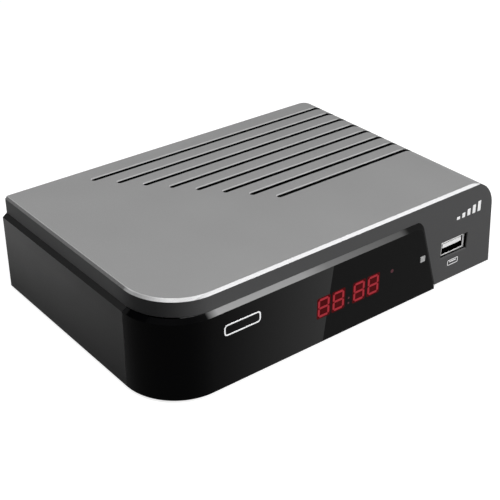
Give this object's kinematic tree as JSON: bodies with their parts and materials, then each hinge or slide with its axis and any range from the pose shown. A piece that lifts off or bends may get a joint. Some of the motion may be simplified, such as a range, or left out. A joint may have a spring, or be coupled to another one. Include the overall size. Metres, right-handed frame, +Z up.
{
  "type": "digital television receiver",
  "caption": "Low set-top receiver box with a slotted silver cover rolled at the right, a gloss black wrap-round fascia with a display, a sprung standby button and front and rear sockets.",
  "frame": {"origin": "on the surface that the feet stand on, under the middle of the outer box", "axes": "+X to the viewer's right along the front, +Y from the front to the rear sockets, +Z up"},
  "size_m": [0.172, 0.1202, 0.0422],
  "materials": {
    "silver_cover": "fine satin silver-grey paint",
    "dark_case": "fine spark texture",
    "gloss_black": "piano gloss",
    "black_panel": "fine texture",
    "rubber": "matte",
    "screw_steel": "zinc plated",
    "button_grey": "satin",
    "black_plastic": "moulded",
    "circuit_board": "solder mask",
    "red_segments": "lit diffuser",
    "red_lens": "tinted lens",
    "socket_metal": "nickel plated",
    "white_plastic": "moulded",
    "gold_contact": "gold flash",
    "ribbon_grey": "flexible",
    "ivory_plastic": "moulded",
    "tin_plate": "tinned",
    "yellow_plastic": "moulded",
    "red_plastic": "moulded",
    "chip_black": "moulded epoxy",
    "sink_aluminium": "extruded",
    "capacitor_sleeve": "shrink sleeve"
  },
  "bodies": {
    "case": {"top_cover": "silver_cover", "bottom_case": "dark_case", "front_fascia": "gloss_black", "rear_panel": "black_panel", "rubber_feet": "rubber", "case_screws": "screw_steel", "tact_switch": "socket_metal", "front_board": "circuit_board", "display_module": "black_plastic", "display_digits": "red_segments", "standby_led": "red_lens", "ir_receiver": "black_plastic", "usb_shell": "socket_metal", "usb_tongue": "white_plastic", "usb_contacts": "gold_contact", "main_board": "circuit_board", "board_screws": "screw_steel", "ribbon_cable": "ribbon_grey", "ribbon_sockets": "ivory_plastic", "tuner_can": "tin_plate", "rf_in_jack": "socket_metal", "rf_out_jack": "socket_metal", "rf_insulators": "white_plastic", "rf_contacts": "gold_contact", "hdmi_shell": "socket_metal", "hdmi_tongue": "black_plastic", "phono_housing": "black_plastic", "phono_barrels": "socket_metal", "phono_insert_yellow": "yellow_plastic", "phono_insert_white": "white_plastic", "phono_insert_red": "red_plastic", "dc_jack": "black_plastic", "dc_pin": "socket_metal", "soc_chip": "chip_black", "heat_sink": "sink_aluminium", "memory_chips": "chip_black", "capacitors": "capacitor_sleeve", "power_coil": "chip_black", "crystal": "tin_plate"},
    "button": {"standby_button": "button_grey", "switch_plunger": "black_plastic"}
  },
  "joints": [
    {"name": "standby_press", "type": "slide", "parent": "case", "child": "button", "axis": [0, 1, 0], "range_m": [0, 0.0005], "stiffness_N_per_m": 800}
  ]
}
